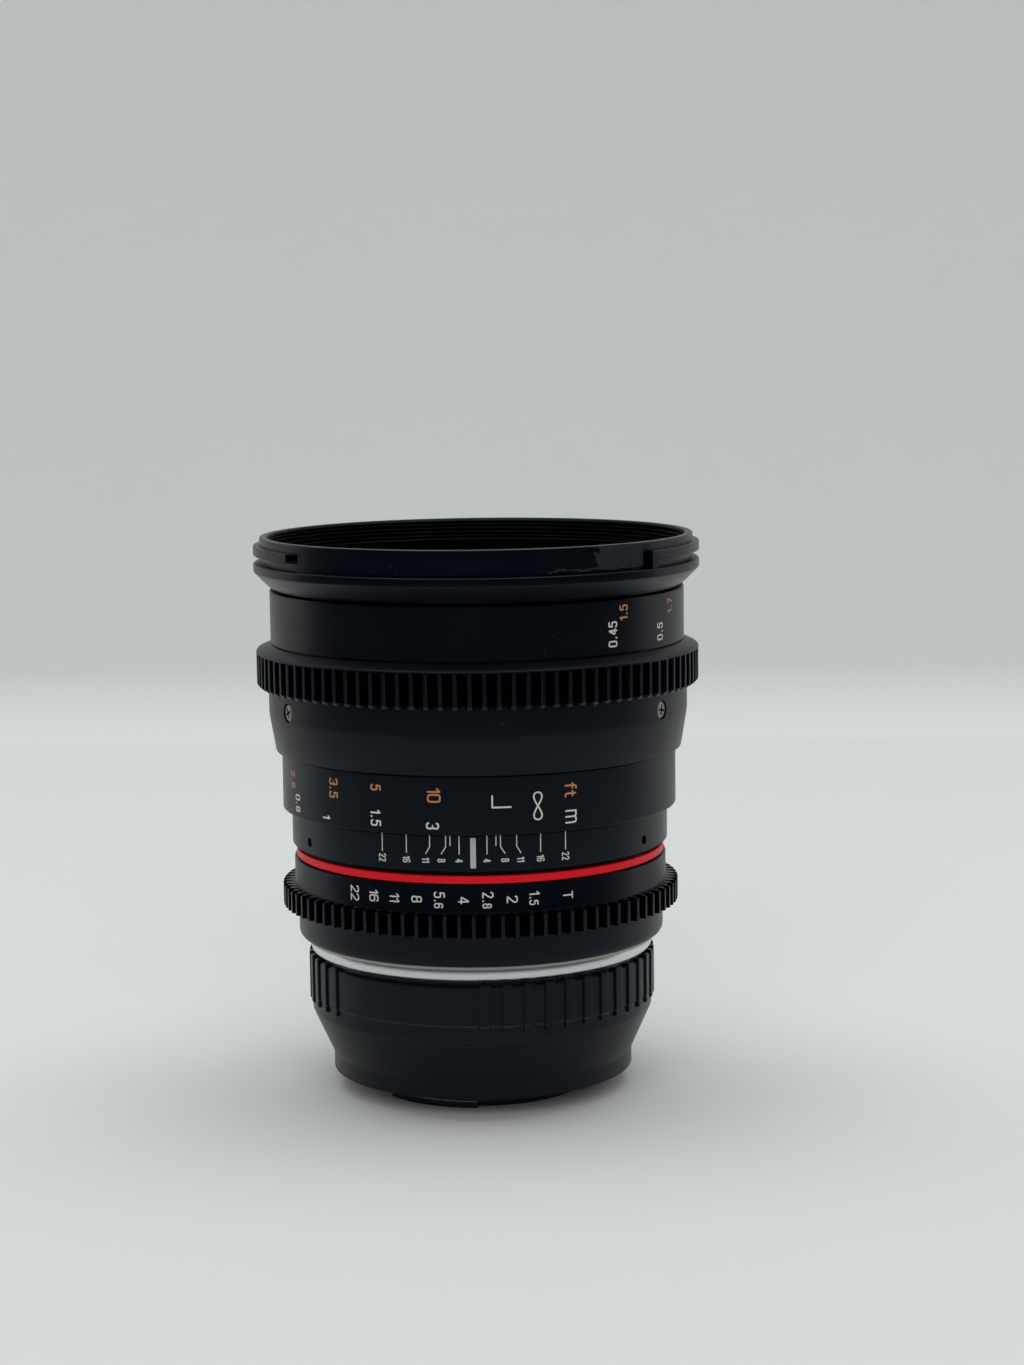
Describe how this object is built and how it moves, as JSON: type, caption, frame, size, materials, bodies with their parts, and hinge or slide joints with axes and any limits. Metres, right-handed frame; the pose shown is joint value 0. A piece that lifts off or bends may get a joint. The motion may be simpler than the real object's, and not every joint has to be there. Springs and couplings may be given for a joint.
{
  "type": "cinema prime lens",
  "caption": "Manual cinema prime lens with geared focus and aperture rings, a sliding optics block and a bladed iris, locked on a bayonet mount adapter.",
  "frame": {"origin": "centre of the ring on which the adapter claws stand, on the lens axis", "axes": "+Z along the lens axis to the front element, -Y through the index mark"},
  "size_m": [0.082, 0.082, 0.1032],
  "materials": {
    "black_satin": "satin black coating",
    "black_anodised": "black anodised, fine grain",
    "black_matt": "matt black",
    "brass": "turned brass",
    "screw_steel": "plated steel",
    "black_screws": "blackened steel",
    "red_band": "red anodised",
    "mount_metal": "plated brass edge",
    "chrome": "satin chrome",
    "claw_metal": "dark polished metal",
    "iris_steel": "blued steel",
    "coated_glass": "coated optical glass"
  },
  "bodies": {
    "lens_body": {"front_ring": "black_satin", "main_barrel": "black_anodised", "depth_scale_ring": "black_anodised", "rear_barrel": "black_anodised", "adapter_body": "black_anodised", "rear_light_baffle": "black_matt", "lens_mount_screws": "screw_steel", "adapter_lens_screws": "screw_steel", "adapter_camera_screws": "screw_steel", "adapter_bayonet_springs": "screw_steel", "lock_spring": "screw_steel", "depth_set_screws": "black_screws", "red_ring": "red_band", "lens_mount_plate": "mount_metal", "adapter_lens_mount": "chrome", "adapter_camera_mount": "claw_metal"},
    "focus_ring_body": {"focus_ring": "black_satin", "focus_grip": "black_satin", "focus_cam_sleeve": "brass", "focus_scale_ring": "black_anodised", "focus_screws": "screw_steel"},
    "optics_block": {"optics_barrel": "black_anodised", "front_cell": "black_anodised", "name_ring": "black_satin", "front_spacer": "black_matt", "rear_cell": "black_anodised", "rear_spacers": "black_matt", "rear_retainer": "black_matt", "cam_followers": "screw_steel", "iris_retaining_ring": "black_anodised", "glass_1_front": "coated_glass", "glass_2": "coated_glass", "glass_3": "coated_glass", "glass_4": "coated_glass", "glass_5": "coated_glass", "glass_6": "coated_glass", "glass_7": "coated_glass", "glass_8": "coated_glass", "glass_9_rear": "coated_glass"},
    "aperture_ring_body": {"aperture_ring": "black_satin", "aperture_fork": "screw_steel"},
    "iris_cam": {"iris_cam_ring": "brass"},
    "release": {"lock_pin": "screw_steel", "release_slider": "black_satin"},
    "blade_1": {"iris_blade_1": "iris_steel"},
    "blade_2": {"iris_blade_2": "iris_steel"},
    "blade_3": {"iris_blade_3": "iris_steel"},
    "blade_4": {"iris_blade_4": "iris_steel"},
    "blade_5": {"iris_blade_5": "iris_steel"},
    "blade_6": {"iris_blade_6": "iris_steel"},
    "blade_7": {"iris_blade_7": "iris_steel"},
    "blade_8": {"iris_blade_8": "iris_steel"}
  },
  "joints": [
    {"name": "focus_turn", "type": "hinge", "parent": "lens_body", "child": "focus_ring_body", "pos_m": [0, 0, 0.0785], "axis": [0, 0, 1], "range_deg": [-17, 141]},
    {"name": "optics_slide", "type": "slide", "parent": "lens_body", "child": "optics_block", "axis": [0, 0, 1], "range_m": [-0.00085, 0.00697]},
    {"name": "aperture_turn", "type": "hinge", "parent": "lens_body", "child": "aperture_ring_body", "pos_m": [0, 0, 0.0395], "axis": [0, 0, 1], "range_deg": [-17.5, 38.5]},
    {"name": "iris_cam_turn", "type": "hinge", "parent": "optics_block", "child": "iris_cam", "pos_m": [0, 0, 0.061], "axis": [0, 0, 1], "range_deg": [-17.6, 38.6]},
    {"name": "blade_1_swing", "type": "hinge", "parent": "optics_block", "child": "blade_1", "pos_m": [0.0215, 0, 0.063], "axis": [0, 0, 1], "range_deg": [-10.6, 23.2]},
    {"name": "blade_2_swing", "type": "hinge", "parent": "optics_block", "child": "blade_2", "pos_m": [0.0152, 0.0152, 0.063], "axis": [0, 0, 1], "range_deg": [-10.6, 23.2]},
    {"name": "blade_3_swing", "type": "hinge", "parent": "optics_block", "child": "blade_3", "pos_m": [0, 0.0215, 0.063], "axis": [0, 0, 1], "range_deg": [-10.6, 23.2]},
    {"name": "blade_4_swing", "type": "hinge", "parent": "optics_block", "child": "blade_4", "pos_m": [-0.0152, 0.0152, 0.063], "axis": [0, 0, 1], "range_deg": [-10.6, 23.2]},
    {"name": "blade_5_swing", "type": "hinge", "parent": "optics_block", "child": "blade_5", "pos_m": [-0.0215, 0, 0.063], "axis": [0, 0, 1], "range_deg": [-10.6, 23.2]},
    {"name": "blade_6_swing", "type": "hinge", "parent": "optics_block", "child": "blade_6", "pos_m": [-0.0152, -0.0152, 0.063], "axis": [0, 0, 1], "range_deg": [-10.6, 23.2]},
    {"name": "blade_7_swing", "type": "hinge", "parent": "optics_block", "child": "blade_7", "pos_m": [0, -0.0215, 0.063], "axis": [0, 0, 1], "range_deg": [-10.6, 23.2]},
    {"name": "blade_8_swing", "type": "hinge", "parent": "optics_block", "child": "blade_8", "pos_m": [0.0152, -0.0152, 0.063], "axis": [0, 0, 1], "range_deg": [-10.6, 23.2]},
    {"name": "release_press", "type": "slide", "parent": "lens_body", "child": "release", "axis": [0, 0, -1], "range_m": [0, 0.0016], "stiffness_N_per_m": 600, "springref_m": -0.002, "deforming": ["lock_spring"]}
  ],
  "couplings": [
    {"joint": "optics_slide", "follows": "focus_turn", "m_per_rad": 0.002829},
    {"joint": "iris_cam_turn", "follows": "aperture_turn", "ratio": 1},
    {"joint": "blade_1_swing", "follows": "aperture_turn", "ratio": 0.6},
    {"joint": "blade_2_swing", "follows": "aperture_turn", "ratio": 0.6},
    {"joint": "blade_3_swing", "follows": "aperture_turn", "ratio": 0.6},
    {"joint": "blade_4_swing", "follows": "aperture_turn", "ratio": 0.6},
    {"joint": "blade_5_swing", "follows": "aperture_turn", "ratio": 0.6},
    {"joint": "blade_6_swing", "follows": "aperture_turn", "ratio": 0.6},
    {"joint": "blade_7_swing", "follows": "aperture_turn", "ratio": 0.6},
    {"joint": "blade_8_swing", "follows": "aperture_turn", "ratio": 0.6}
  ]
}
